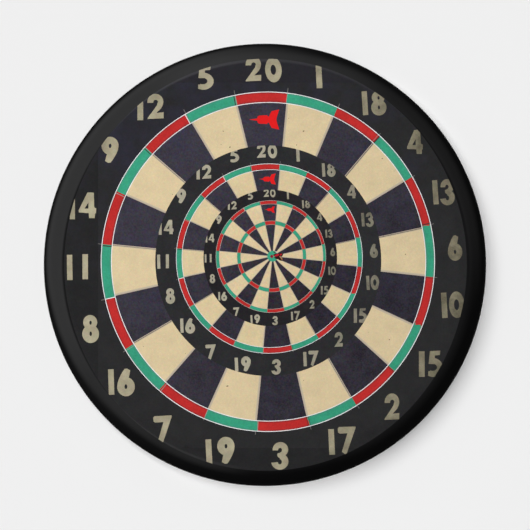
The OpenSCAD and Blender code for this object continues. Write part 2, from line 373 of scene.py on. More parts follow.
def glyph(ch):
    """Width, height, shapes to add and shapes to take away, x to the right and y down."""
    if ch == "0":
        return 15.6, 26.4, [ell(7.8, 13.2, 7.8, 13.2, 36)], [ell(7.7, 13.2, 2.45, 5.2, 22)]
    if ch == "1":
        return 6.0, 25.0, [[(0, 0), (6.0, 0), (6.0, 25.0), (0, 25.0)]], []
    if ch == "2":
        return (16.2, 25.2,
                [band(8.0, 8.0, 8.0, 8.0, 2.4, 2.6, -32, 188, 22, 0.3, 0.6),
                 [(10.4, 8.4), (15.9, 8.6), (15.3, 11.6), (13.7, 14.6), (8.9, 19.2), (16.2, 18.5), (16.1, 24.5), (0.0, 25.2), (0.1, 24.2), (6.4, 15.8), (9.6, 11.4)]], [])
    if ch == "3":
        return (16.4, 28.0,
                [band(8.5, 7.6, 7.6, 7.6, 1.9, 2.3, -90, 186, 22, -0.4, 0.6), band(7.9, 19.6, 8.4, 8.4, 2.0, 2.6, -172, 90, 22, 0.0, 0.4),
                 [(5.4, 12.0), (6.6, 11.1), (11.0, 10.6), (13.5, 13.0), (11.0, 17.0), (7.2, 15.9), (5.8, 14.6)]], [])
    if ch == "4":
        return (17.0, 26.3,
                [[(8.4, 0.2), (11.0, 0.0), (14.7, 0.3), (15.0, 15.2), (17.0, 16.3), (16.7, 21.2), (15.8, 21.8), (15.4, 26.3), (10.0, 26.2), (9.7, 21.2), (0.0, 20.3), (0.0, 18.0)]],
                [[(9.4, 10.4), (9.3, 16.4), (5.7, 16.4)]])
    if ch == "5":
        return (15.2, 27.0,
                [[(0.9, 1.0), (11.6, 0.0), (11.2, 4.5), (6.1, 5.2), (6.0, 13.9), (0.0, 14.0)], band(4.6, 17.4, 10.2, 9.6, 4.6, 3.6, -118, 84, 20, -0.4, -0.1),
                 [(0.0, 21.4), (5.4, 20.7), (4.6, 27.0), (1.6, 26.2), (0.0, 24.6)]], [])
    if ch == "6":
        return six()
    if ch == "7":
        return (18.3, 27.6,
                [[(0.2, 2.2), (1.6, 0.9), (18.2, 0.0), (18.3, 1.4), (9.7, 27.6), (8.6, 27.4), (5.1, 25.0), (10.2, 6.8), (2.4, 7.4), (0.6, 6.4)]], [])
    if ch == "8":
        return (17.2, 28.0,
                [ell(8.2, 7.3, 7.2, 7.3), ell(8.6, 18.9, 8.6, 9.1), [(3.2, 10.0), (13.8, 10.0), (13.8, 15.0), (3.2, 15.0)]],
                [ell(8.6, 7.7, 1.2, 2.0, 14), ell(8.7, 18.7, 1.2, 2.2, 14)])
    if ch == "9":
        w, h, add, sub = six()
        return w, h, [[(w - x, h - y) for x, y in P] for P in add], [[(w - x, h - y) for x, y in P] for P in sub]
    raise ValueError(ch)


def place(b, pts):
    """Points given on board 1, moved to board b."""
    cx, cy, s = BOARDS[b]
    ox, oy = {1: (0.0, 0.0), 2: (0.30, 0.18), 3: (0.42, 0.30)}[b]
    return [(cx + ox + (x - BOARDS[1][0]) * s, cy + oy + (y - BOARDS[1][1]) * s) for x, y in pts]


def numeral_shapes(b):
    out = []
    for ch, x, y, w, h, lean in NUMERALS:
        gw, gh, add, sub = glyph(ch)
        c, s = math.cos(math.radians(lean)), math.sin(math.radians(lean))

        def tr(P):
            res = []
            for u, v in P:
                a, e = (u / gw - 0.5) * w, (v / gh - 0.5) * h
                res.append((x + c * a + s * e, y - s * a + c * e))
            return place(b, res)

        # the counters of the small numerals are printed more open
        k = {1: 1.05, 2: 1.2, 3: 1.5}[b]
        open_ = []
        for P in sub:
            mx, my = sum(p[0] for p in P) / len(P), sum(p[1] for p in P) / len(P)
            open_.append([(mx + (u - mx) * k, my + (v - my) * (1 + (k - 1) * 0.6)) for u, v in P])
        out.append(([tr(P) for P in add], [tr(P) for P in open_]))
    return out


# a plain dart lying across the 20 bed
MOTIF = [[(249.2, 119.6), (258.5, 118.2), (258.5, 121.0)],
         [(257.3, 117.2), (258.8, 115.6), (267.0, 115.2), (268.8, 117.0), (268.8, 122.2), (267.0, 124.0), (258.8, 123.6), (257.3, 122.0)],
         [(268.0, 117.9), (272.0, 117.7), (272.0, 121.5), (268.0, 121.3)],
         [(267.8, 118.4), (271.6, 111.2), (279.2, 109.4), (276.4, 118.6), (276.4, 120.6), (279.2, 129.6), (271.6, 127.8), (267.8, 120.8)]]
# the little dart printed in the innermost bull: its shaded outline, then its flights and its shaft
TINY_DARK = [[(272.9, 255.0), (275.4, 253.4), (281.6, 252.9), (283.2, 254.0), (282.7, 255.8), (280.4, 257.6), (276.0, 257.8)],
             [(273.8, 257.0), (276.6, 257.4), (279.6, 257.0), (283.2, 258.4), (283.8, 260.2), (281.0, 261.0), (278.4, 259.6), (275.2, 258.6)],
             [(273.6, 251.4), (275.6, 252.4), (275.2, 253.3), (273.2, 252.1)]]
TINY_RED = [[(274.7, 254.9), (276.8, 253.9), (279.3, 253.8), (279.1, 255.4), (276.8, 256.4), (274.8, 256.4)],
            [(279.9, 253.8), (282.0, 253.7), (281.8, 255.0), (280.2, 255.9)]]
TINY_TAN = [[(272.8, 255.4), (274.4, 255.8), (274.3, 256.5), (272.7, 256.1)], [(279.2, 256.4), (280.2, 256.1), (282.8, 259.2), (282.0, 259.8)]]
TINY_PALE = [[(275.6, 251.2), (278.0, 252.6), (277.6, 253.3), (275.2, 251.9)]]


def point_on(cx, cy, s, r, a):
    a = math.radians(a)
    return (cx + s * r * math.cos(a), cy - s * r * math.sin(a))


def wire_line(b, k):
    """The polyline of sector wire k on board b, from the inside out."""
    cx, cy, s = BOARDS[b]
    cx, cy = cx + WIRE_OFF[b][0], cy + WIRE_OFF[b][1]
    inner, outer = (WIRES_1 if b == 1 else WIRES_2)
    p, q = point_on(cx, cy, s, 112, inner[k]), point_on(cx, cy, s, 163, outer[k])
    d = (q[0] - p[0], q[1] - p[1])
    past = (q[0] + d[0] * 0.2, q[1] + d[1] * 0.2)
    if b < 3:
        return [(p[0] - d[0] * 0.22, p[1] - d[1] * 0.22), past]
    m, i = point_on(cx, cy, s, 90, WIRES_IN[1][k]), point_on(cx, cy, s, 36, WIRES_IN[0][k])
    g = (i[0] - BULL[0], i[1] - BULL[1])
    f = 5.0 / math.hypot(*g)
    return [(BULL[0] + g[0] * f, BULL[1] + g[1] * f), i, m, q, past]


def thick(line, half):
    """A thin polygon round a polyline."""
    left, right = [], []
    for j, p in enumerate(line):
        a, c = line[max(j - 1, 0)], line[min(j + 1, len(line) - 1)]
        d = (c[0] - a[0], c[1] - a[1])
        ln = math.hypot(*d)
        nx, ny = -d[1] / ln * half, d[0] / ln * half
        left.append((p[0] + nx, p[1] + ny))
        right.append((p[0] - nx, p[1] - ny))
    return left + right[::-1]


def cut(line, t0, t1):
    """Part of a straight wire between fractions of its last straight run."""
    p, q = line[-2], line[-1]
    return [(p[0] + (q[0] - p[0]) * t, p[1] + (q[1] - p[1]) * t) for t in (t0, t1)]


def in_poly(px, py, P):
    inside = np.zeros(px.shape, bool)
    x1, y1 = P[-1]
    box = (px >= min(p[0] for p in P)) & (px <= max(p[0] for p in P)) & (py >= min(p[1] for p in P)) & (py <= max(p[1] for p in P))
    qx, qy = px[box], py[box]
    ins = np.zeros(qx.shape, bool)
    for x2, y2 in P:
        if y1 != y2:
            c = ((y1 > qy) != (y2 > qy)) & (qx < (x1 - x2) * (qy - y2) / (y1 - y2) + x2)
            ins ^= c
        x1, y1 = x2, y2
    inside[box] = ins
    return inside


def rim(px, py, E):
    """Below 1 inside the ellipse E; and roughly the distance from it."""
    e = np.hypot((px - E[0]) / E[2], (py - E[1]) / E[3])
    return e, (e - 1) * (E[2] + E[3]) / 2


def joint_line(b, k):
    cx, cy, s = BOARDS[b]
    cx, cy = cx + WIRE_OFF[b][0], cy + WIRE_OFF[b][1]
    return [point_on(cx, cy, s, 150, JOINTS[k]), point_on(cx, cy, s, 176, JOINTS[k])]


def beside(line, off, half):
    """A strip beside a polyline, off to its clockwise side by off."""
    left, right = [], []
    for j, p in enumerate(line):
        a, c = line[max(j - 1, 0)], line[min(j + 1, len(line) - 1)]
        d = (c[0] - a[0], c[1] - a[1])
        ln = math.hypot(*d)
        nx, ny = -d[1] / ln, d[0] / ln
        left.append((p[0] + nx * (off + half), p[1] + ny * (off + half)))
        right.append((p[0] + nx * (off - half), p[1] + ny * (off - half)))
    return left + right[::-1]


def cream_side(k):
    """+1 where the cream bed lies clockwise of wire k, -1 where it lies the other way."""
    return 1 if k % 2 == 0 else -1


HALF_WIRE = {1: 0.35, 2: 0.22, 3: 0.13}

verts2, edges2 = [], []


def inside_disc(P, R):
    """The part of polygon P within R print units of the disc's centre."""
    out = []
    for a, b in zip(P, list(P[1:]) + [P[0]]):
        ax, ay, ux, uy = a[0] - MID[0], a[1] - MID[1], b[0] - a[0], b[1] - a[1]
        ina, inb = math.hypot(ax, ay) <= R, math.hypot(ax + ux, ay + uy) <= R
        if ina:
            out.append(a)
        if ina != inb:
            qa, qb, qc = ux * ux + uy * uy, ax * ux + ay * uy, ax * ax + ay * ay - R * R
            root = math.sqrt(max(qb * qb - qa * qc, 0.0))
            t = (-qb + root) / qa if ina else (-qb - root) / qa
            out.append((a[0] + t * ux, a[1] + t * uy))
    return out


def loop(P, limit=True):
    if limit:
        P = inside_disc(P, to_units(27.19, 0.0)[0] - MID[0])
    i0 = len(verts2)
    verts2.extend(Vector((x, y)) for x, y in P)
    n = len(P)
    edges2.extend((i0 + i, i0 + (i + 1) % n) for i in range(n))


def ring_loop(E, grow, n):
    loop(ell(E[0], E[1], E[2] + grow, E[3] + grow, n))


# ---- curves of the arrangement
R1 = 27.25
N_RING = 480


def to_units(r, phi):
    """A point of the paper's outer face at radius r (mm), seen by the camera, in print units."""
    h = float(dome(r, FACE_OUT))
    f = (CAM_D - SIL_H) / (CAM_D - h) / UNIT
    return (MID[0] + r * math.cos(phi) * f, MID[1] - r * math.sin(phi) * f)


loop([to_units(R1, 2 * math.pi * i / N_RING) for i in range(N_RING)], limit=False)
for r, n, off in ((27.14, 480, 0.5), (26.98, 480, 0), (26.82, 480, 0.5), (26.66, 480, 0), (26.5, 480, 0.5), (26.3, 480, 0), (26.1, 480, 0.5), (25.95, 360, 0), (25.7, 360, 0.5), (25.2, 240, 0)):
    verts2.extend(Vector(to_units(r, 2 * math.pi * (i + off) / n)) for i in range(n))
for i in range(-18, 19):
    for j in range(-20, 21):
        x, y = (i + 0.5 * (j % 2)) * 1.45, j * 1.26
        r = math.hypot(x, y)
        if r < 24.7:
            verts2.append(Vector(to_units(r, math.atan2(y, x))))

for b in (1, 2, 3):
    s = BOARDS[b][2]
    loop(ell(*CROPS[b], {1: 360, 2: 300, 3: 240}[b]))
    hw = HALF_WIRE[b]
    n = {1: 360, 2: 280, 3: 220}[b]
    for E, grows in ((RINGS[b][0], (-1.25 * s - hw, -hw, hw)), (RINGS[b][1], (-hw, hw, hw + 1.5 * s))):
        for g in grows:
            ring_loop(E, g, n)
for E in TRIPLE:
    for g in (-0.19, 0.19):
        ring_loop(E, g, 160)

strips, marks = [], []
for b in (1, 2, 3):
    s = BOARDS[b][2]
    for k in range(20):
        line = wire_line(b, k)
        c_ = cream_side(k)
        strips.append((b, beside(line, c_ * 0.62 * s, 0.62 * s), "fringe_a"))
        strips.append((b, beside(line, c_ * 1.67 * s, 0.43 * s), "fringe_b"))
        if k in BED_DARK and b < 3:
            strips.append((b, beside(line, c_ * BED_DARK[k][0] * s, BED_DARK[k][1] * s), "wire_dark"))
        joint = joint_line(b, k)
        for kk, off, half, kind in JOINT_MARKS:
            if kk == k:
                marks.append((b, "in", beside(joint, c_ * off * s, half * s), {"dark": "wire_shadow", "faint": "wire_faint", "bright": "wire"}[kind]))
        if k in ENDS and b < 3:
            off, past_, half = ENDS[k]
            cx, cy, _ = BOARDS[b]
            e = [point_on(cx, cy, s, 166.0, JOINTS[k]), point_on(cx, cy, s, 169.3 + past_ - 1.4 * abs(math.cos(math.radians(JOINTS[k]))), JOINTS[k])]
            marks.append((b, "out", beside(e, c_ * off * s, half * s), "tick"))
for b, P, name in strips:
    loop(P)
for b, zone, P, name in marks:
    loop(P)
numerals = {b: numeral_shapes(b) for b in (1, 2, 3)}
for b in (1, 2, 3):
    for add, sub in numerals[b]:
        for P in add + sub:
            loop(P)
motifs = {b: [place(b, P) for P in MOTIF] for b in (1, 2, 3)}
for b in (1, 2, 3):
    for P in motifs[b]:
        loop(P)
for P in TINY_RED + TINY_TAN + TINY_DARK + TINY_PALE:
    loop(P)
loop(ell(BULL[0], BULL[1], 5.35, 5.35, 48))
loop(ell(271.8, 256.4, 1.6, 1.6, 24))
# three chords of the ground lie outside its brighter square
DIM = []
for a0, a1 in ((145.3, 214.7), (61.0, 119.0), (241.6, 298.4)):
    DIM.append([(CROPS[1][0] + 1.011 * CROPS[1][2] * math.cos(math.radians(a0 + (a1 - a0) * i / 40)),
                 CROPS[1][1] - 1.011 * CROPS[1][3] * math.sin(math.radians(a0 + (a1 - a0) * i / 40))) for i in range(41)])
    print("chord", [round(v, 1) for v in DIM[-1][0] + DIM[-1][-1]])
for P in DIM:
    loop(P)
holes = []
for x, y, d in PINHOLES:
    a = rng.random() * math.pi
    P = [(x + d * (0.9 * math.cos(t) * math.cos(a) - 0.55 * math.sin(t) * math.sin(a)),
          y + d * (0.9 * math.cos(t) * math.sin(a) + 0.55 * math.sin(t) * math.cos(a))) for t in [2 * math.pi * i / 9 for i in range(9)]]
    holes.append(P)
    loop(P)

res = geometry.delaunay_2d_cdt(verts2, edges2, [], 0, 1e-4)
V2 = np.array([(v.x, v.y) for v in res[0]])
F2 = np.array([f for f in res[2] if len(f) == 3], int)
print("print mesh:", len(V2), "points,", len(F2), "triangles")

# ---- which ink each triangle takes
ctr = V2[F2].mean(1)
px, py = ctr[:, 0], ctr[:, 1]
lab = np.full(len(F2), L["border"])
crop_in = {b: np.hypot((px - c[0]) / c[2], (py - c[1]) / c[3]) < 1 for b, c in CROPS.items()}
for b in (1, 2, 3):
    inside = crop_in[b]
    if b < 3:
        inside = inside & ~crop_in[b + 1]
    idx = np.where(inside)[0]
    x, y = px[idx], py[idx]
    out = np.full(len(idx), L[{1: "ground", 2: "ground_2", 3: "ground_3"}[b]])
    if b == 1:
        for P, name in zip(DIM, ("ground_dim", "ground_top", "ground_dim")):
            out[in_poly(x, y, P)] = L[name]
    e_out, d_out = rim(x, y, RINGS[b][0])
    e_in, d_in = rim(x, y, RINGS[b][1])
    for add, sub in numerals[b]:
        m = np.zeros(len(idx), bool)
        for P in add:
            m |= in_poly(x, y, P)
        for P in sub:
            m &= ~in_poly(x, y, P)
        out[m & (e_out > 1)] = L[{1: "numeral", 2: "numeral_2", 3: "numeral_3"}[b]]
    black = np.zeros(len(idx), bool)
    red_bed = np.zeros(len(idx), bool)
    for k in range(1, 20, 2):
        black |= in_poly(x, y, wire_line(b, k - 1) + wire_line(b, k)[::-1])
        red_bed |= in_poly(x, y, joint_line(b, k - 1) + joint_line(b, k)[::-1])
    bed = e_in < 1
    ring = (e_out < 1) & (e_in > 1)
    sc = BOARDS[b][2]
    hw = HALF_WIRE[b]
    out[bed & black] = L[{1: "black", 2: "black_2", 3: "black_3"}[b]]
    out[bed & ~black] = L[{1: "cream", 2: "cream_2", 3: "cream_3"}[b]]
    if b == 1:
        for P in holes:
            out[in_poly(x, y, P)] = L["pinhole"]
    m = np.zeros(len(idx), bool)
    for P in motifs[b]:
        m |= in_poly(x, y, P)
    out[m & black & bed] = L["motif"]
    for name in ("fringe_b", "fringe_a", "wire_dark"):
        for bb, P, nm in strips:
            if bb == b and nm == name:
                out[in_poly(x, y, P) & bed & ~black] = L[name]
    out[ring & red_bed] = L["red"]
    out[ring & ~red_bed] = L["green"]
    shade = ring & ((d_out > -1.25 * sc - hw) | (d_in < hw + 1.5 * sc))
    out[shade & red_bed] = L["red_shade"]
    out[shade & ~red_bed] = L["green_shade"]
    if b == 3:
        e_to, d_to = rim(x, y, TRIPLE[0])
        e_ti, d_ti = rim(x, y, TRIPLE[1])
        tr_ = (e_to < 1) & (e_ti > 1)
        out[tr_ & black] = L["red"]
        out[tr_ & ~black] = L["green"]
        out[(np.abs(d_to) < 0.19) | (np.abs(d_ti) < 0.19)] = L["wire_faint"]
    for bb, zone, P, name in marks:
        if bb == b:
            m = in_poly(x, y, P)
            m &= ring if zone == "in" else (e_out >= 1)
            out[m] = L[name]
    out[(np.abs(d_out) < hw) | (np.abs(d_in) < hw)] = L["wire" if b < 3 else "wire_small"]
    if b == 3:
        out[np.hypot(x - BULL[0], y - BULL[1]) < 5.35] = L["green"]
        out[np.hypot(x - 271.8, y - 256.4) < 1.6] = L["bull_core"]
        for group, name in ((TINY_DARK, "dart_dark"), (TINY_TAN, "dart_tan"), (TINY_RED, "dart_red"), (TINY_PALE, "wire_small")):
            for P in group:
                out[in_poly(x, y, P)] = L[name]
    lab[idx] = out


# ------------------------------------------------------------------------------------------------
# Turned meshes
# ------------------------------------------------------------------------------------------------
def mesh_object(name, verts, faces, mats, face_mat=None, smooth=True):
    me = bpy.data.meshes.new(name)
    me.from_pydata([tuple(v) for v in verts], [], [tuple(int(i) for i in f) for f in faces])
    for m in mats:
        me.materials.append(m)
    if face_mat is not None:
        me.polygons.foreach_set("material_index", np.asarray(face_mat, np.int32))
    me.polygons.foreach_set("use_smooth", np.full(len(me.polygons), smooth))
    me.update()
    ob = bpy.data.objects.new(name, me)
    bpy.context.scene.collection.objects.link(ob)
    return ob


# Pleats: the paper and the film gather where they fold under the edge
_prng = random.Random(7)
PLEATS = []
_a = 0.0
while _a < 2 * math.pi - 0.02:
    PLEATS.append((_a, 0.35 + 0.65 * _prng.random(), 0.010 + 0.010 * _prng.random(), (_prng.random() - 0.5) * 0.05))
    _a += 0.040 + 0.030 * _prng.random()


def pleat_height(phi, s):
    """Gather of the fold at angle phi; s runs from 0 at the widest ring to 1 at the lip."""
    phi = np.asarray(phi)
    total = np.zeros_like(phi)
    for a, amp, w, lean in PLEATS:
        d = (phi - a - lean * s + math.pi) % (2 * math.pi) - math.pi
        ridge = np.where(d < 0, np.exp(-(d / (w * 0.55)) ** 2), np.exp(-(d / (w * 1.5)) ** 2))
        total = np.maximum(total, amp * ridge)
    return total


def wrap_profile(d, n_bend, n_curl, n_lip):
    """Points (r, h, nr, nh, s) of a layer line from the shoulder's start to the end of its turned-back edge."""
    pts = [(r, h, nr, nh, 0.0) for r, h, nr, nh in arc(bend_x, bend_z, bend_r + d, math.degrees(crown_a), 90, n_bend)]
    for i, (r, h, nr, nh) in enumerate(arc(curl_x, curl_z, curl_r + d, 90, 180, n_curl)):
        pts.append((r, h, nr, nh, 0.65 * i / n_curl))
    for i in range(1, 4):
        pts.append((curl_x + (lip_x - curl_x) * i / 4, lip_z - d, 0.0, -1.0, 0.65 + 0.35 * i / 4))
    for i, (r, h, nr, nh) in enumerate(arc(lip_x, lip_z, d, 180, 360, n_lip)):
        pts.append((r, h, nr, nh, max(0.0, 1.0 - 1.5 * i / n_lip)))
    for i in range(1, 4):
        pts.append((lip_x + TURN_BACK * i / 3, lip_z + d, 0.0, 1.0, 0.0))
    clean = [pts[0]]
    for p in pts[1:]:
        if math.hypot(p[0] - clean[-1][0], p[1] - clean[-1][1]) > 1e-5:
            clean.append(p)
    return clean


def rings(profile, n, amp=0.0, phi0=0.0):
    phi = phi0 + 2 * np.pi * np.arange(n) / n
    out = []
    for r, h, nr, nh, s in profile:
        g = 0.0
        if amp and s > 0:
            g = amp * (s * s * (3 - 2 * s)) * pleat_height(phi, s)
        rr, hh = r + nr * g, h + nh * g + 0 * phi
        out.append(np.stack([rr * np.cos(phi) * MM, -hh * MM, rr * np.sin(phi) * MM], 1))
    return out


def strip(a0, b0, n):
    """Quads between ring starting at index a0 and ring starting at index b0, seen from outside with b further along."""
    return [(a0 + i, b0 + i, b0 + (i + 1) % n, a0 + (i + 1) % n) for i in range(n)]


def surroundings(n, dx, dy, dz):
    """What the shoulder mirrors face on: a dim room with one wide soft box on the left. Returns (level, soft box)."""
    rho = n.math("MAXIMUM", n.math("SQRT", n.math("ADD", n.math("MULTIPLY", dx, dx), n.math("MULTIPLY", dz, dz))), 1e-4)
    tilt = n.math("ARCTAN2", rho, n.math("MULTIPLY", dy, -1.0))  # 0 towards the camera, pi behind

    def across(beta):
        b_ = math.radians(beta)
        return n.math("DIVIDE", n.math("MULTIPLY_ADD", dx, math.cos(b_), n.math("MULTIPLY", dz, math.sin(b_))), rho)

    def patch(beta, near, full, t0, t1, t2, t3):
        """A soft patch in direction beta round the camera's axis, between two tilts."""
        f_ = n.math("MULTIPLY", n.smooth(across(beta), near, full), n.smooth(tilt, math.radians(t0), math.radians(t1)))
        return n.math("MULTIPLY", f_, n.smooth(tilt, math.radians(t2), math.radians(t3), 1.0, 0.0))

    below = n.math("MAXIMUM", n.math("DIVIDE", n.math("MULTIPLY", dz, -2.0), rho), 0.0)
    late = n.math("MULTIPLY_ADD", below, math.radians(30), tilt)  # the box ends sooner low on the left
    box_ = n.math("MULTIPLY", n.math("MULTIPLY", n.smooth(across(156), 0.12, 0.80), n.smooth(tilt, math.radians(7), math.radians(17))),
                  n.smooth(late, math.radians(85), math.radians(135), 1.0, 0.0))
    lvl = n.math("MULTIPLY_ADD", box_, 0.55, 0.020)
    lvl = n.math("MULTIPLY_ADD", patch(88, 0.80, 0.99, 10, 18, 45, 95), 0.22, lvl)    # ceiling
    lvl = n.math("MULTIPLY_ADD", patch(45, 0.50, 0.95, 14, 26, 60, 115), 0.17, lvl)   # weak light from the upper right
    lvl = n.math("MULTIPLY_ADD", patch(240, 0.88, 0.995, 9, 16, 35, 75), 0.25, lvl)   # table edge, lower left
    lvl = n.math("MULTIPLY_ADD", patch(322, 0.80, 0.97, 10, 18, 40, 75), 0.035, lvl)  # faint return from the lower right
    return lvl, box_


# ---- printed paper
f2 = F2.copy()
area = ((V2[f2[:, 1], 0] - V2[f2[:, 0], 0]) * (V2[f2[:, 2], 1] - V2[f2[:, 0], 1])
        - (V2[f2[:, 2], 0] - V2[f2[:, 0], 0]) * (V2[f2[:, 1], 1] - V2[f2[:, 0], 1]))
keep = np.abs(area) > 1e-9
f2, lab, area = f2[keep], lab[keep], area[keep]
f2[area > 0] = f2[area > 0][:, ::-1]  # y runs down, so turn them to face the viewer
u, v = V2[:, 0] - MID[0], MID[1] - V2[:, 1]
rr = np.hypot(u, v) * UNIT
r_mm = rr.copy()
for _ in range(6):
    r_mm = rr * (CAM_D - dome(np.minimum(r_mm, R1), FACE_OUT)) / (CAM_D - SIL_H)
f = np.where(rr > 0, r_mm / np.maximum(rr, 1e-9), 1.0)
X, Z = u * UNIT * f, v * UNIT * f
H = dome(np.minimum(r_mm, R1), FACE_OUT)
top = np.stack([X * MM, -H * MM, Z * MM], 1)
edge_i = np.array([i for i, o in enumerate(res[3]) if any(j < N_RING for j in o)])
ang = np.arctan2(Z[edge_i], X[edge_i]) % (2 * math.pi)
ang[ang > 2 * math.pi - 1e-4] = 0.0
edge_i = edge_i[np.argsort(ang)]
assert len(edge_i) == N_RING, len(edge_i)

prof = wrap_profile(FACE_OUT, 14, 12, 8)
prof = [p for p in prof if p[0] > R1 + 0.08 or p[4] > 0 or p[3] < 0 or p[1] < bend_z]
outer = rings(prof, N_RING, amp=0.055)
inner_prof = []
for p in reversed(wrap_profile(PAPER_IN, 10, 10, 4)):
    inner_prof.append(p)
r_in = (bend_r + PAPER_IN) * math.sin(crown_a) + bend_x
for r in (24.0, 22.0, 20.0, 18.0, 16.0, 14.0, 12.0, 10.0, 8.0, 6.0, 4.0, 2.0, 0.7):
    inner_prof.append((r, float(dome(r, PAPER_IN)), 0.0, 1.0, 0.0))
inner = rings(inner_prof, N_RING, amp=0.055)
verts = [tuple(p) for p in top]
faces = [tuple(t) for t in f2]
fm = list(lab)
prev = list(edge_i)
for ring_pts, p in zip(outer, prof):
    base = len(verts)
    verts.extend(tuple(q) for q in ring_pts)
    cur = [base + i for i in range(N_RING)]
    for i in range(N_RING):
        j = (i + 1) % N_RING
        faces.append((prev[i], cur[i], cur[j], prev[j]))
        fm.append(L["border"])
    prev = cur
for ring_pts in inner:
    base = len(verts)
    verts.extend(tuple(q) for q in ring_pts)
    cur = [base + i for i in range(N_RING)]
    for i in range(N_RING):
        j = (i + 1) % N_RING
        faces.append((prev[i], cur[i], cur[j], prev[j]))
        fm.append(L["paper"])
    prev = cur
c = len(verts)
verts.append((0.0, -float(dome(0.0, PAPER_IN)) * MM, 0.0))
for i in range(N_RING):
    faces.append((prev[i], c, prev[(i + 1) % N_RING]))
    fm.append(L["paper"])
paper = mesh_object("printed_face", verts, faces, [INKS[k] for k in LABELS], fm)
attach(paper, "root")
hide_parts("printed_paper")

# ---- clear film
N_FILM = 720
crown_prof = [(r, float(dome(r, FILM_OUT)), r / (crown_r + FILM_OUT), math.cos(math.asin(r / (crown_r + FILM_OUT))), 0.0)
              for r in (0.8, 2.5, 4.5, 7.0, 9.5, 12.0, 14.5, 17.0, 19.5, 22.0, 24.0)]
out_prof = crown_prof + wrap_profile(FILM_OUT, 22, 18, 8)
in_prof = list(reversed(wrap_profile(SKIN_IN, 22, 18, 8))) + [(r, float(dome(r, SKIN_IN)), 0, 1, 0) for r in (24.0, 22.0, 20.0, 18.0, 16.0, 14.0, 12.0, 10.0, 8.0, 6.0, 4.0, 2.0, 0.7)]
verts, faces = [(0.0, -float(dome(0.0, FILM_OUT)) * MM, 0.0)], []
prev = None
for ring_pts in rings(out_prof, N_FILM, amp=0.075) + rings(in_prof, N_FILM, amp=0.06):
    base = len(verts)
    verts.extend(tuple(q) for q in ring_pts)
    if prev is None:
        faces.extend((0, base + i, base + (i + 1) % N_FILM) for i in range(N_FILM))
    else:
        faces.extend(strip(prev, base, N_FILM))
    prev = base
verts.append((0.0, -float(dome(0.0, SKIN_IN)) * MM, 0.0))
faces.extend((prev + i, len(verts) - 1, prev + (i + 1) % N_FILM) for i in range(N_FILM))

m, n, out = material("clear_film_gloss")
obj = n.add("ShaderNodeTexCoord").outputs["Object"]
ripple = n.noise(obj, 90.0, 2.0, 0.5)
orange = n.noise(obj, 900.0, 2.0, 0.5)
hgt = n.math("MULTIPLY_ADD", orange.outputs[0], 0.04, n.math("MULTIPLY", ripple.outputs[0], 0.55))
nrm = n.bump(hgt, 0.35, 0.00006)
fres = n.add("ShaderNodeFresnel", IOR=1.52, Normal=nrm)
geo = n.add("ShaderNodeNewGeometry")
outer_side = n.math("SUBTRACT", 1.0, geo.outputs["Backfacing"])
returned = n.math("MULTIPLY", fres.outputs[0], outer_side)
clear = n.add("ShaderNodeBsdfTransparent", Color=n.scale((0.985, 0.985, 0.98), n.math("SUBTRACT", 1.0, returned)))
# The reflection is painted on as emission, worked out from the mirrored view direction, so that it is free of noise.
# Seen face on, the shoulder mirrors only the soft box in front of it. Seen from the side it also mirrors the sheet it
# is stuck to and two tall soft boxes, and from behind a pale room; these come from the mirrored view direction.
view_dir = geo.outputs["Incoming"]
mirror = n.vec("SUBTRACT", n.scale(nrm, n.math("MULTIPLY", n.vec("DOT_PRODUCT", view_dir, nrm, out=1), 2.0)), view_dir)
vx, vy, vz = n.add("ShaderNodeSeparateXYZ", Vector=view_dir).outputs
mx_, my_, mz_ = n.add("ShaderNodeSeparateXYZ", Vector=mirror).outputs
oblique = n.smooth(n.math("MULTIPLY", vy, -1.0), 0.885, 0.991, 1.0, 0.0)
rear = n.smooth(my_, -0.03, 0.05)
before = n.math("LESS_THAN", vy, 0.0)
height_ = n.math("MULTIPLY", n.add("ShaderNodeSeparateXYZ", Vector=obj).outputs[1], -1.0)
flat_ = n.math("SQRT", n.math("ADD", n.math("MULTIPLY", mx_, mx_), n.math("MULTIPLY", mz_, mz_)))
reach = n.math("DIVIDE", n.math("MULTIPLY", height_, flat_), n.math("MAXIMUM", my_, 0.03))
# painted shadow: the mirrored sheet is darker where the mirrored ray meets it close to the magnet
sheet_ = n.math("MULTIPLY", n.math("MULTIPLY", n.smooth(reach, 0.0, 0.007, 0.22, 0.78), rear), before)
turn = n.math("ARCTAN2", mx_, n.math("MULTIPLY", my_, -1.0))  # 0 to the front, a right angle to the right
soft_z = n.math("MULTIPLY", n.smooth(mz_, -0.75, -0.25), n.smooth(mz_, 0.80, 0.95, 1.0, 0.0))


def tall_box(a0, a1, soft=5.0):
    f_ = n.math("MULTIPLY", n.smooth(turn, math.radians(a0), math.radians(a0 + soft)),
                n.smooth(turn, math.radians(a1 - soft), math.radians(a1), 1.0, 0.0))
    return n.math("MULTIPLY", f_, soft_z)


boxes = n.math("MULTIPLY", tall_box(60, 86), 2.3)
boxes = n.math("MULTIPLY_ADD", tall_box(-80, -56), 1.2, boxes)
room = n.math("MULTIPLY_ADD", n.smooth(mz_, -0.5, 0.9), 0.55, 0.16)
room = n.math("MULTIPLY", n.math("ADD", room, n.math("ADD", n.math("MULTIPLY", tall_box(118, 150, 8.0), 2.2), n.math("MULTIPLY", tall_box(-152, -112, 8.0), 2.2))),
              n.math("SUBTRACT", 1.0, before))
seen = n.math("ADD", n.math("ADD", sheet_, boxes), room)
seen = n.math("MULTIPLY_ADD", seen, oblique, surroundings(n, mx_, my_, mz_)[0])
seen = n.math("MULTIPLY", seen, n.add("ShaderNodeLightPath").outputs["Is Camera Ray"])
shine = n.add("ShaderNodeEmission", Color=(1, 1, 1, 1), Strength=n.math("MULTIPLY", seen, returned))
both = n.add("ShaderNodeAddShader")
n.put(both.inputs[0], clear.outputs[0])
n.put(both.inputs[1], shine.outputs[0])
n.put(out.inputs[0], both.outputs[0])
m.cycles.emission_sampling = "NONE"
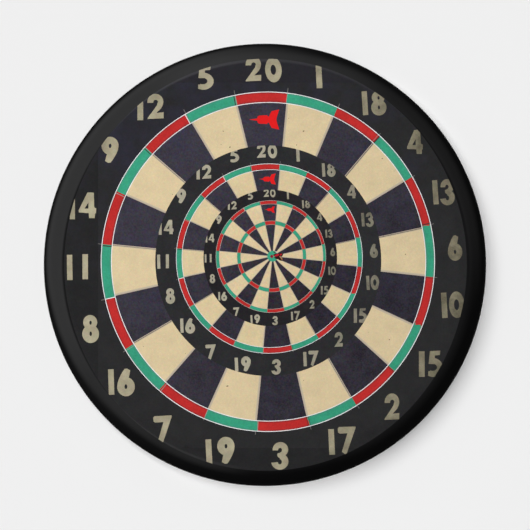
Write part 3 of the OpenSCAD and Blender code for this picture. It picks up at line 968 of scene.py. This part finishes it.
FILM_MAT = m
mi, n, out = material("clear_film_bond")
haze = n.noise(n.add("ShaderNodeTexCoord").outputs["Object"], 600.0, 2.0, 0.5)
clear = n.add("ShaderNodeBsdfTransparent", Color=n.mix(haze.outputs[0], (0.995, 0.995, 0.995, 1), (1.0, 1.0, 1.0, 1)))
n.put(out.inputs[0], clear.outputs[0])
n_out = len([1 for _ in out_prof])
first_in = N_FILM * n_out  # faces from the first inner ring on belong to the bonded side
film = mesh_object("clear_cover", verts, faces, [FILM_MAT, mi], [0 if i < first_in else 1 for i in range(len(faces))])
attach(film, "root")
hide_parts("clear_film")


# ---- back plate: a bent sheet turned about the axis
def unit(v):
    ln = math.hypot(*v)
    return (v[0] / ln, v[1] / ln)


def sheet_profile(P, R, steps):
    """Points and left normals along a bent line."""
    out = [(P[0], None)]
    pts = []
    d0 = unit((P[1][0] - P[0][0], P[1][1] - P[0][1]))
    pts.append((P[0], (-d0[1], d0[0])))
    for i in range(1, len(P) - 1):
        p, q, s = P[i - 1], P[i], P[i + 1]
        u_ = unit((q[0] - p[0], q[1] - p[1]))
        v_ = unit((s[0] - q[0], s[1] - q[1]))
        k = 1.0 if u_[0] * v_[1] - u_[1] * v_[0] > 0 else -1.0
        ph = math.acos(max(-1, min(1, u_[0] * v_[0] + u_[1] * v_[1])))
        r = R[i - 1]
        t = r * math.tan(ph / 2)
        c_ = (q[0] - u_[0] * t - u_[1] * k * r, q[1] - u_[1] * t + u_[0] * k * r)
        w0 = (u_[1] * k, -u_[0] * k)
        for j in range(steps + 1):
            a = k * ph * j / steps
            w = (w0[0] * math.cos(a) - w0[1] * math.sin(a), w0[0] * math.sin(a) + w0[1] * math.cos(a))
            pts.append(((c_[0] + w[0] * r, c_[1] + w[1] * r), (-w[0] * k, -w[1] * k)))
    d1 = unit((P[-1][0] - P[-2][0], P[-1][1] - P[-2][1]))
    pts.append((P[-1], (-d1[1], d1[0])))
    return pts


BEAD_R, BEAD_H, STEP_R, RIM_R, RIM_H = 19.2, 0.45, 24.9, 27.65, 1.05
field_z = 1.1 + BACK_T / 2
pocket_z = MAG_H + 0.13 + GAP + BACK_T / 2
pocket_x = MAG_R + 0.35 + BACK_T / 2
flange_z = lip_z + FILM_OUT + GAP + BACK_T / 2
line = [(0.0, pocket_z), (pocket_x, pocket_z), (pocket_x + 0.2, field_z), (BEAD_R - 1.4, field_z), (BEAD_R - 0.7, field_z + BEAD_H),
        (BEAD_R + 0.7, field_z + BEAD_H), (BEAD_R + 1.4, field_z), (STEP_R, field_z), (STEP_R + 0.6, flange_z), (RIM_R, flange_z), (RIM_R, flange_z + RIM_H)]
prof = sheet_profile(line, [0.5, 0.5, 0.6, 0.6, 0.6, 0.6, 0.4, 0.4, 0.35], 7)
# more rings on the long flats, so that small dents can show
dense = [prof[0]]
for p in prof[1:]:
    q = dense[-1]
    gap_ = math.hypot(p[0][0] - q[0][0], p[0][1] - q[0][1])
    steps = max(1, int(gap_ / 1.2))
    for j in range(1, steps):
        t = j / steps
        dense.append(((q[0][0] + (p[0][0] - q[0][0]) * t, q[0][1] + (p[0][1] - q[0][1]) * t), p[1] if steps > 1 else q[1]))
    dense.append(p)
prof = dense
N_BACK = 360
phi = 2 * np.pi * np.arange(N_BACK) / N_BACK


def sheet_dent(r, phi):
    """Very slight unevenness of the pressed sheet, in mm."""
    a = 0.010 * np.sin(3 * phi + 0.7) * math.exp(-((r - 22.3) / 2.5) ** 2) + 0.008 * np.sin(5 * phi + 2.1 + r * 0.25) * math.exp(-((r - 15.8) / 1.8) ** 2)
    return a


verts, faces = [], []
row = []
for side_ in (-1, 1):
    for (p, nv) in (prof if side_ == -1 else prof[::-1]):
        r, h = p[0] + side_ * -nv[0] * BACK_T / 2 * -1, p[1] + side_ * nv[1] * BACK_T / 2
        row.append((r, h))
start_c = None
prev = None
half_n = len(prof)
for i, (r, h) in enumerate(row):
    if i == 0 or i == len(row) - 1:
        verts.append((0.0, -h * MM, 0.0))
        if i == 0:
            start_c = 0
        else:
            faces.extend((prev + j, prev + (j + 1) % N_BACK, len(verts) - 1) for j in range(N_BACK))
        continue
    base = len(verts)
    hh = h + sheet_dent(r, phi) * (1 if 13.6 < r < 24.5 else 0)
    verts.extend((r * math.cos(a) * MM, -b_ * MM, r * math.sin(a) * MM) for a, b_ in zip(phi, hh))
    if prev is None:
        faces.extend((0, base + (j + 1) % N_BACK, base + j) for j in range(N_BACK))
    else:
        faces.extend((prev + j, prev + (j + 1) % N_BACK, base + (j + 1) % N_BACK, base + j) for j in range(N_BACK))
    prev = base


def tinplate(name, tone, rough0=0.26):
    m, n, out = material(name)
    obj = n.add("ShaderNodeTexCoord").outputs["Object"]
    # rolling grain runs one way across the sheet
    roll = n.add("ShaderNodeMapping", Vector=obj, Scale=(1.0, 0.4, 0.025), Rotation=(0.0, 0.35, 0.0))
    grain = n.noise(roll.outputs[0], 5200.0, 3.0, 0.6)
    streak = n.noise(roll.outputs[0], 900.0, 3.0, 0.6)
    cloud = n.noise(obj, 120.0, 4.0, 0.6)
    sm = n.noise(n.vec("ADD", obj, (0.2, 0.1, 0.3)), 320.0, 5.0, 0.65)
    spangle = n.add("ShaderNodeTexVoronoi", Vector=obj, Scale=420.0)
    sc = n.add("ShaderNodeMapping", Vector=obj, Scale=(0.03, 1.0, 1.0), Rotation=(0.0, -0.9, 0.0))
    scr = n.noise(sc.outputs[0], 1700.0, 2.0, 0.5)
    scm = n.smooth(scr.outputs[0], 0.66, 0.70)
    base = n.mix(n.smooth(cloud.outputs[0], 0.35, 0.7), rgba(lin(tone)), rgba(lin([v * 0.90 for v in tone])))
    base = n.mix(n.math("MULTIPLY", n.smooth(streak.outputs[0], 0.4, 0.8), 0.25), base, rgba(lin([v * 0.82 for v in tone])))
    tiny = n.add("ShaderNodeSeparateXYZ", Vector=spangle.outputs["Color"]).outputs[0]
    base = n.mix(n.math("MULTIPLY", tiny, 0.06), base, rgba(lin([v * 0.8 for v in tone])))
    base = n.mix(n.math("MULTIPLY", n.smooth(sm.outputs[0], 0.56, 0.72), 0.25), base, rgba(lin((120, 112, 98))))
    rough = n.math("MULTIPLY_ADD", grain.outputs[0], 0.16, rough0 - 0.05)
    rough = n.math("MULTIPLY_ADD", n.smooth(sm.outputs[0], 0.45, 0.7), 0.14, rough)
    rough = n.math("ADD", rough, n.math("MULTIPLY", scm, 0.1))
    hgt = n.math("ADD", n.math("MULTIPLY", grain.outputs[0], 0.5), n.math("MULTIPLY", scm, -0.6))
    b1 = n.bump(hgt, 0.25, 0.000012)
    p = n.add("ShaderNodeBsdfPrincipled", **{"Base Color": base, "Metallic": 1.0, "Roughness": rough, "Normal": b1,
                                            "Anisotropic": 0.35})
    n.put(out.inputs[0], p.outputs[0])
    return m


BACK_MAT = tinplate("tinplate_back", (206, 206, 203))
back = mesh_object("pressed_back", verts, faces, [BACK_MAT])
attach(back, "root")
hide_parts("back_plate")

# ---- magnet: sintered ferrite disc with a broken, slightly chipped edge
N_MAG = 288
mrng = random.Random(11)
phi = 2 * np.pi * np.arange(N_MAG) / N_MAG


def chip_row(count, depth, width):
    c_ = np.zeros(N_MAG)
    for _ in range(count):
        a, w, d = mrng.random() * 2 * math.pi, width * (0.5 + mrng.random()), depth * (0.3 + 0.7 * mrng.random())
        x = (phi - a + math.pi) % (2 * math.pi) - math.pi
        c_ = np.maximum(c_, d * np.clip(1 - (x / w) ** 2, 0, 1) ** 0.7)
    return c_


chips = {"face": chip_row(13, 0.34, 0.040), "inner": chip_row(6, 0.16, 0.035)}
wob = 0.012 * np.sin(7 * phi + 1.0) + 0.010 * np.sin(13 * phi + 0.3)
E = 0.3
shape = []  # radius and height per ring, arrays over phi
shape.append((np.full(N_MAG, 1.5), np.zeros(N_MAG)))
for r in (4.0, 7.0, 9.5, 11.3):
    shape.append((np.full(N_MAG, r), np.zeros(N_MAG)))
ch = chips["face"]
for t in (0.0, 0.25, 0.5, 0.75, 1.0):
    r = MAG_R - E + E * t - ch * (0.9 - 0.35 * t) + (wob - 0.022) * t
    h = E * t ** 1.15 + ch * (0.55 * (1 - abs(2 * t - 1)) + 0.15)
    shape.append((r, np.where(t == 0.0, 0.0, h) if t == 0 else h))
for h in (0.75, 1.5, 2.3):
    shape.append((MAG_R - 0.022 + wob - chips["face"] * 0.25 * max(0.0, 1 - (h - 0.3) / 0.9), np.full(N_MAG, h)))
for t in (0.0, 0.5, 1.0):
    shape.append((MAG_R - 0.022 + wob * (1 - t) - E * t - chips["inner"] * t, np.full(N_MAG, MAG_H - E + E * t)))
shape.append((np.full(N_MAG, 8.0), np.full(N_MAG, MAG_H)))
shape.append((np.full(N_MAG, 2.0), np.full(N_MAG, MAG_H)))
verts, faces = [(0.0, 0.0, 0.0)], []
prev = None
for r, h in shape:
    base = len(verts)
    r = np.minimum(r, MAG_R - 0.0005)
    h = np.clip(h, 0.0, MAG_H)
    verts.extend((a * math.cos(q) * MM, -b_ * MM, a * math.sin(q) * MM) for a, b_, q in zip(r, h, phi))
    if prev is None:
        faces.extend((0, base + (j + 1) % N_MAG, base + j) for j in range(N_MAG))
    else:
        faces.extend((prev + j, prev + (j + 1) % N_MAG, base + (j + 1) % N_MAG, base + j) for j in range(N_MAG))
    prev = base
verts.append((0.0, -MAG_H * MM, 0.0))
faces.extend((prev + j, prev + (j + 1) % N_MAG, len(verts) - 1) for j in range(N_MAG))

m, n, out = material("sintered_ferrite")
obj = n.add("ShaderNodeTexCoord").outputs["Object"]
geo = n.add("ShaderNodeNewGeometry")
grind = n.add("ShaderNodeMapping", Vector=obj, Scale=(1.0, 1.0, 0.02), Rotation=(0.0, 1.1, 0.0))
lines = n.noise(grind.outputs[0], 6000.0, 2.0, 0.55)
pores = n.add("ShaderNodeTexVoronoi", Vector=obj, Scale=2600.0)
pit = n.smooth(pores.outputs["Distance"], 0.05, 0.22, 1.0, 0.0)
pick = n.math("GREATER_THAN", n.add("ShaderNodeSeparateXYZ", Vector=pores.outputs["Color"]).outputs[1], 0.72)
pit = n.math("MULTIPLY", pit, pick)
cloud = n.noise(obj, 260.0, 4.0, 0.6)
fine = n.noise(obj, 9000.0, 3.0, 0.7)
edge = n.smooth(geo.outputs["Pointiness"], 0.505, 0.56)
sep = n.add("ShaderNodeSeparateXYZ", Vector=obj)
rad = n.math("SQRT", n.math("ADD", n.math("MULTIPLY", sep.outputs[0], sep.outputs[0]), n.math("MULTIPLY", sep.outputs[2], sep.outputs[2])))
wear = n.math("MULTIPLY", n.smooth(rad, (MAG_R - 1.1) * MM, (MAG_R - 0.15) * MM), n.smooth(cloud.outputs[0], 0.35, 0.65))
col = n.mix(n.smooth(cloud.outputs[0], 0.3, 0.7), rgba(lin((84, 84, 87))), rgba(lin((104, 103, 103))))
col = n.mix(n.math("MULTIPLY", fine.outputs[0], 0.25), col, rgba(lin((126, 126, 129))))
col = n.mix(n.math("MULTIPLY", n.smooth(lines.outputs[0], 0.35, 0.7), 0.45), col, rgba(lin((132, 132, 136))))
col = n.mix(n.math("MULTIPLY", wear, 0.45), col, rgba(lin((140, 139, 136))))
col = n.mix(pit, col, rgba(lin((36, 36, 37))))
rough = n.math("MULTIPLY_ADD", fine.outputs[0], 0.2, 0.38)
hgt = n.math("ADD", n.math("MULTIPLY", lines.outputs[0], 0.6), n.math("MULTIPLY", pit, -0.8))
hgt = n.math("MULTIPLY_ADD", fine.outputs[0], 0.3, hgt)
p = n.add("ShaderNodeBsdfPrincipled", **{"Base Color": col, "Roughness": rough, "Specular IOR Level": 0.55, "Metallic": 0.25,
                                        "Normal": n.bump(hgt, 0.5, 0.00002)})
n.put(out.inputs[0], p.outputs[0])
magnet = mesh_object("ferrite_magnet", verts, faces, [m], smooth=True)
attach(magnet, "root")
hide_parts("magnet_disc")

# ---- the CAD nodes that stay: the shell inside the layers and the adhesive under the magnet
SHELL_MAT = tinplate("tinplate_shell", (196, 196, 192), 0.3)
for node_name, mat in (("steel_shell", SHELL_MAT),):
    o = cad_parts[node_name]
    o.data.materials.clear()
    o.data.materials.append(mat)
m, n, out = material("adhesive_foam")
obj = n.add("ShaderNodeTexCoord").outputs["Object"]
cell = n.add("ShaderNodeTexVoronoi", Vector=obj, Scale=5200.0)
cl = n.noise(obj, 400.0, 3.0, 0.6)
col = n.mix(cl.outputs[0], rgba(lin((232, 226, 204))), rgba(lin((214, 204, 176))))
col = n.mix(n.smooth(cell.outputs["Distance"], 0.0, 0.5, 0.35, 0.0), col, rgba(lin((170, 160, 132))))
p = n.add("ShaderNodeBsdfPrincipled", **{"Base Color": col, "Roughness": 0.75, "Normal": n.bump(cell.outputs["Distance"], 0.4, 0.00003)})
n.put(out.inputs[0], p.outputs[0])
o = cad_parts["adhesive_pad"]
o.data.materials.clear()
o.data.materials.append(m)

# ------------------------------------------------------------------------------------------------
# Stage: the pale upright sheet the magnet is stuck to, and a pale floor
# ------------------------------------------------------------------------------------------------
PALE = 0.8714
wall_y = 0.00002
EVEN = (1.0275, 0.66, -0.55)


def stage_material(name, mode):
    m, n, out = material(name)
    path = n.add("ShaderNodeLightPath")
    geo = n.add("ShaderNodeNewGeometry")
    clear = n.add("ShaderNodeBsdfTransparent")
    obj = n.add("ShaderNodeTexCoord").outputs["Object"]
    tone = n.noise(obj, 6.0, 2.0, 0.5)
    col = n.mix(tone.outputs[0], rgba([0.800] * 3), rgba([0.806] * 3))
    if mode == "wall":
        # the sheet's tone evens out the soft box's slight fall-off round the magnet
        sx = n.add("ShaderNodeSeparateXYZ", Vector=obj)
        even = n.math("MULTIPLY_ADD", sx.outputs[0], EVEN[1], EVEN[0])
        even = n.math("MULTIPLY_ADD", sx.outputs[2], EVEN[2], even)
        even = n.math("MINIMUM", n.math("MAXIMUM", even, 0.93), 1.06)
        # painted light: the sheet's tone is raised close to the rim below and to the right, lightening the cast
        # shadow's two ends, which are softer than one soft box throws
        away_r = n.math("SQRT", n.math("MULTIPLY_ADD", sx.outputs[0], sx.outputs[0], n.math("MULTIPLY", sx.outputs[2], sx.outputs[2])))
        shadow_lift = n.math("EXPONENT", n.math("MULTIPLY", n.math("SUBTRACT", away_r, 0.0289), -1800.0))
        shadow_lift = n.math("MINIMUM", shadow_lift, 1.3)
        for b_, amount, lo in ((272.0, 0.24, 0.80), (17.0, 0.20, 0.62)):
            c_ = n.math("MULTIPLY_ADD", sx.outputs[0], math.cos(math.radians(b_)), n.math("MULTIPLY", sx.outputs[2], math.sin(math.radians(b_))))
            shadow_lift_lobe = n.smooth(n.math("DIVIDE", c_, n.math("MAXIMUM", away_r, 1e-4)), lo, 0.99)
            even = n.math("MULTIPLY_ADD", n.math("MULTIPLY", shadow_lift_lobe, shadow_lift), amount, even)
        col = n.scale(col, even)
        body = n.add("ShaderNodeBsdfDiffuse", Color=col).outputs[0]
        # the sheet fades into the pale room towards its edges
        ex = n.smooth(n.math("ABSOLUTE", sx.outputs[0]), 0.09, 0.155, 1.0, 0.0)
        ez = n.smooth(n.math("ABSOLUTE", sx.outputs[2]), 0.09, 0.155, 1.0, 0.0)
        fade = n.math("MULTIPLY", ex, ez)
        # and it is not seen edge on
        facing = n.math("MULTIPLY", n.add("ShaderNodeSeparateXYZ", Vector=geo.outputs["Incoming"]).outputs[1], -1.0)
        fade = n.math("MULTIPLY", fade, n.smooth(facing, 0.05, 0.25))
    else:
        # pale floor that runs into the pale room, as a studio sweep does
        far = n.smooth(n.vec("LENGTH", n.vec("MULTIPLY", obj, (1, 1, 0)), out=1), 0.10, 1.6)
        body = n.add("ShaderNodeEmission", Color=n.mix(far, rgba([PALE * 0.88] * 3), rgba([PALE] * 3)), Strength=1.0).outputs[0]
        fade = n.math("ADD", 1.0, 0.0)
    show = n.math("MULTIPLY", n.math("MULTIPLY", path.outputs["Is Camera Ray"], n.math("SUBTRACT", 1.0, geo.outputs["Backfacing"])), fade)
    mx = n.add("ShaderNodeMixShader")
    n.put(mx.inputs[0], show)
    n.put(mx.inputs[1], clear.outputs[0])
    n.put(mx.inputs[2], body)
    n.put(out.inputs[0], mx.outputs[0])
    return m


def quad_grid(name, corner, du, dv, nu, nv, mat):
    vs = [tuple(Vector(corner) + Vector(du) * (i / nu) + Vector(dv) * (j / nv)) for j in range(nv + 1) for i in range(nu + 1)]
    fs = [(j * (nu + 1) + i, j * (nu + 1) + i + 1, (j + 1) * (nu + 1) + i + 1, (j + 1) * (nu + 1) + i) for j in range(nv) for i in range(nu)]
    return mesh_object(name, vs, fs, [mat], smooth=False)


wall = quad_grid("backdrop_sheet", (-0.16, wall_y, -0.16), (0.32, 0, 0), (0, 0, 0.32), 6, 6, stage_material("pale_wall", "wall"))
floor = quad_grid("pale_floor", (-6.0, -6.0, -0.17), (12.0, 0, 0), (0, 12.0, 0), 6, 6, stage_material("pale_floor", "floor"))

# ------------------------------------------------------------------------------------------------
# Light. World: pale to the camera; to everything else a dim room with one wide soft box on the left
# ------------------------------------------------------------------------------------------------
world = bpy.data.worlds.new("soft_studio")
bpy.context.scene.world = world
world.use_nodes = True
world.node_tree.nodes.clear()
n = Nodes(world.node_tree)
out = n.add("ShaderNodeOutputWorld")
path = n.add("ShaderNodeLightPath")
gen = n.add("ShaderNodeTexCoord").outputs["Generated"]
lvl, box_ = surroundings(n, *n.add("ShaderNodeSeparateXYZ", Vector=gen).outputs)
glossy = n.add("ShaderNodeBackground", Color=(1, 1, 1, 1), Strength=lvl)
ambient = n.add("ShaderNodeBackground", Color=(1, 1, 1, 1), Strength=n.math("MULTIPLY_ADD", box_, 0.10, 0.04))
pale = n.add("ShaderNodeBackground", Color=rgba([PALE] * 3), Strength=1.0)
m1 = n.add("ShaderNodeMixShader")
n.put(m1.inputs[0], path.outputs["Is Glossy Ray"])
n.put(m1.inputs[1], ambient.outputs[0])
n.put(m1.inputs[2], glossy.outputs[0])
m2 = n.add("ShaderNodeMixShader")
n.put(m2.inputs[0], path.outputs["Is Camera Ray"])
n.put(m2.inputs[1], m1.outputs[0])
n.put(m2.inputs[2], pale.outputs[0])
n.put(out.inputs[0], m2.outputs[0])


def aim(ob, frm, to=(0, 0, 0)):
    ob.location = Vector(frm)
    ob.rotation_mode = "QUATERNION"
    ob.rotation_quaternion = (Vector(to) - Vector(frm)).to_track_quat("-Z", "Y")


def area(name, frm, size, power, glossy_seen=False, to=(0, -0.003, 0), size_y=None):
    ld = bpy.data.lights.new(name, "AREA")
    ld.shape = "RECTANGLE" if size_y else "DISK"
    ld.size = size
    if size_y:
        ld.size_y = size_y
    ld.energy = power
    ob = bpy.data.objects.new(name, ld)
    bpy.context.scene.collection.objects.link(ob)
    aim(ob, frm, to)
    ob.visible_glossy = glossy_seen
    ob.visible_camera = False
    return ob


def away(tilt_deg, beta_deg, dist, back_side=False):
    t, b_ = math.radians(tilt_deg), math.radians(beta_deg)
    return (dist * math.sin(t) * math.cos(b_), (1 if back_side else -1) * dist * math.cos(t), dist * math.sin(t) * math.sin(b_))


key = area("key_softbox", away(21, 142, 0.6), 0.40, 2.15, size_y=0.20)
toward = Vector(away(21, 142, 1.0)).normalized()
lateral = Vector((0, -1, 0)).cross(toward).normalized()
key.rotation_mode = "QUATERNION"
key.rotation_quaternion = Matrix((lateral.cross(toward), lateral, toward)).transposed().to_quaternion()
sun = bpy.data.lights.new("front_fill", "SUN")
sun.energy = 1.47
sun.angle = math.radians(6)
sun_o = bpy.data.objects.new("front_fill", sun)
bpy.context.scene.collection.objects.link(sun_o)
aim(sun_o, (0, -1, 0))
sun_o.visible_glossy = False

# lights for the back, which reach only the back's own pieces
back_set = bpy.data.collections.new("back_pieces")
for o in (back, magnet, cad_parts["adhesive_pad"]):
    back_set.objects.link(o)
rig = [area("back_key", away(38, 35, 0.7, True), 0.5, 0.80, True),
       area("back_fill", away(52, 250, 0.6, True), 0.45, 0.30, True),
       area("back_floor_bounce", away(62, 330, 0.6, True), 0.5, 0.42, True),
       area("back_wide", away(4, 90, 0.7, True), 1.3, 1.3, True)]
for o in rig:
    o.light_linking.receiver_collection = back_set

cam = bpy.data.cameras.new("camera")
cam.lens = 400
cam.sensor_width = 36
cam.clip_start, cam.clip_end = 0.01, 10
cam_o = bpy.data.objects.new("camera", cam)
bpy.context.scene.collection.objects.link(cam_o)
cx_, cz_ = (265.0 - MID[0]) * UNIT * MM, (MID[1] - 265.0) * UNIT * MM  # the photo is centred a hair off the disc
aim(cam_o, (cx_, -CAM_D * MM, cz_), (cx_, 0, cz_))
bpy.context.scene.camera = cam_o

vs = bpy.context.scene.view_settings
vs.view_transform = "Standard"
vs.look = "None"
vs.exposure = 0.0
vs.gamma = 1.0
